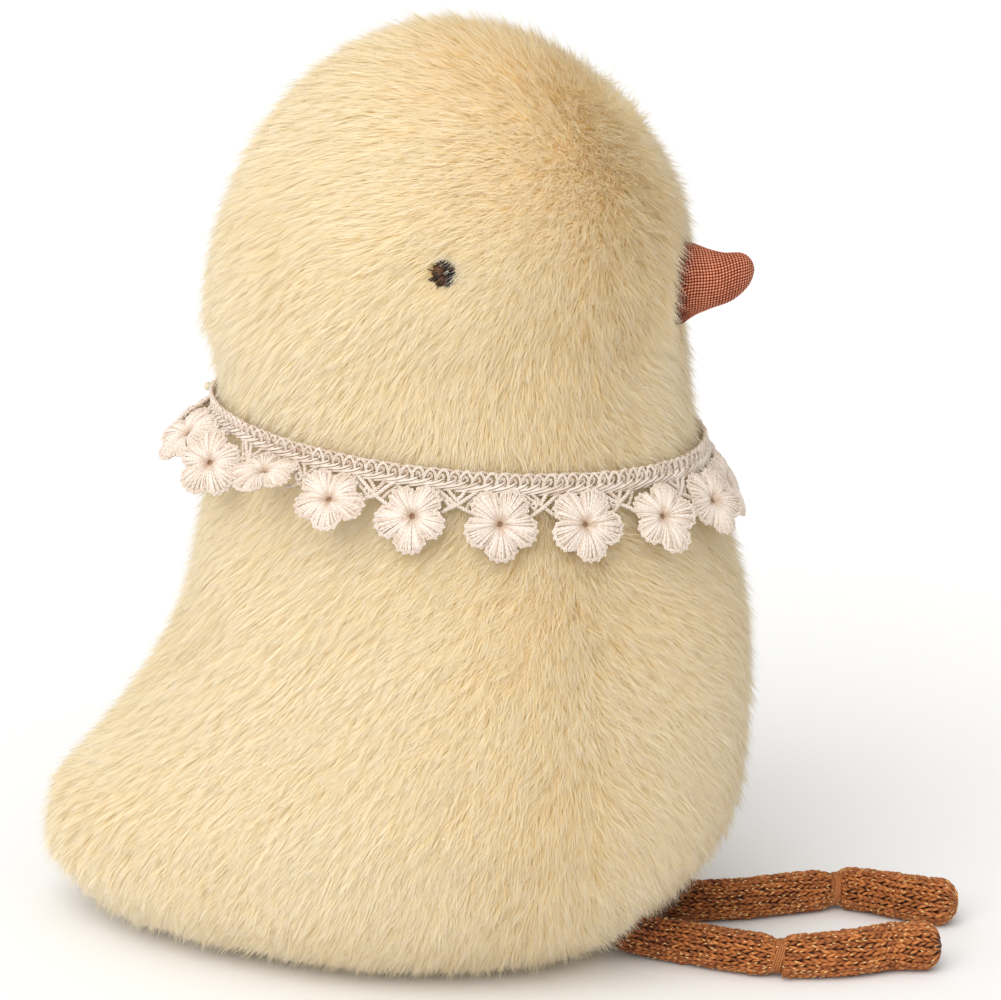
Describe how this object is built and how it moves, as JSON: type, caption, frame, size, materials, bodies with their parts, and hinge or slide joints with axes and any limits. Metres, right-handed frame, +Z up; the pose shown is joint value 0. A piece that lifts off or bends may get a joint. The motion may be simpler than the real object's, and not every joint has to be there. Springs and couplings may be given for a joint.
{
  "type": "plush chick",
  "caption": "Sitting plush chick with a weighted fur-fabric body, stuffed linen beak, stitched eyes, crochet flower collar and limp knitted cord legs.",
  "frame": {"origin": "middle of the underside of the whole toy, on the surface it sits on", "axes": "+Z up, -Y the way the chick faces, +X its left side"},
  "size_m": [0.1018, 0.1786, 0.1769],
  "materials": {
    "fur_fabric": "short dense butter-yellow fur pile",
    "fibre_filling": "loose white polyester fibre",
    "bag_lining": "plain woven lining",
    "pellets": "small plastic pellets",
    "beak_linen": "terracotta plain-weave linen",
    "eye_thread": "dark brown embroidery thread",
    "lace_cotton": "ecru crochet cotton",
    "sewing_thread": "cream sewing thread",
    "leg_yarn": "copper-brown knitted yarn with a fine metallic strand",
    "wrap_thread": "copper-brown wound thread"
  },
  "bodies": {
    "body": {"side_panel_right": "fur_fabric", "side_panel_left": "fur_fabric", "front_panel": "fur_fabric", "base_panel": "fur_fabric", "fibre_filling": "fibre_filling", "pellet_bag": "bag_lining", "pellet_fill": "pellets", "beak_cover": "beak_linen", "beak_filling": "fibre_filling", "eye_right": "eye_thread", "eye_left": "eye_thread", "eye_thread": "eye_thread", "lace_band": "lace_cotton", "collar_tack": "sewing_thread", "lace_flower_01": "lace_cotton", "lace_flower_02": "lace_cotton", "lace_flower_03": "lace_cotton", "lace_flower_04": "lace_cotton", "lace_flower_05": "lace_cotton", "lace_flower_06": "lace_cotton", "lace_flower_07": "lace_cotton", "lace_flower_08": "lace_cotton", "lace_flower_09": "lace_cotton", "lace_flower_10": "lace_cotton", "lace_flower_11": "lace_cotton", "lace_flower_12": "lace_cotton", "lace_flower_13": "lace_cotton", "lace_flower_14": "lace_cotton", "lace_flower_15": "lace_cotton", "lace_flower_16": "lace_cotton", "lace_flower_17": "lace_cotton", "lace_flower_18": "lace_cotton", "hip_stitch_right": "sewing_thread", "hip_stitch_left": "sewing_thread"},
    "leg_right": {"leg_knit_right": "leg_yarn", "leg_core_right": "fibre_filling", "ankle_wrap_right": "wrap_thread"},
    "foot_right": {"foot_knit_right": "leg_yarn", "foot_core_right": "fibre_filling"},
    "leg_left": {"leg_knit_left": "leg_yarn", "leg_core_left": "fibre_filling", "ankle_wrap_left": "wrap_thread"},
    "foot_left": {"foot_knit_left": "leg_yarn", "foot_core_left": "fibre_filling"}
  },
  "joints": [
    {"name": "hip_right", "type": "hinge", "parent": "body", "child": "leg_right", "pos_m": [-0.0109, -0.0262, 0.005], "axis": [-0.9975, 0.0704, 0], "range_deg": [-85, 18]},
    {"name": "hip_left", "type": "hinge", "parent": "body", "child": "leg_left", "pos_m": [0.0094, -0.0262, 0.005], "axis": [-0.9998, -0.021, 0], "range_deg": [-85, 18]},
    {"name": "ankle_right", "type": "hinge", "parent": "leg_right", "child": "foot_right", "pos_m": [-0.016, -0.0576, 0.0038], "axis": [-0.9998, -0.0196, 0], "range_deg": [-48, 48]},
    {"name": "ankle_left", "type": "hinge", "parent": "leg_left", "child": "foot_left", "pos_m": [0.021, -0.0646, 0.0038], "axis": [-0.9531, -0.3027, 0], "range_deg": [-48, 48]}
  ]
}
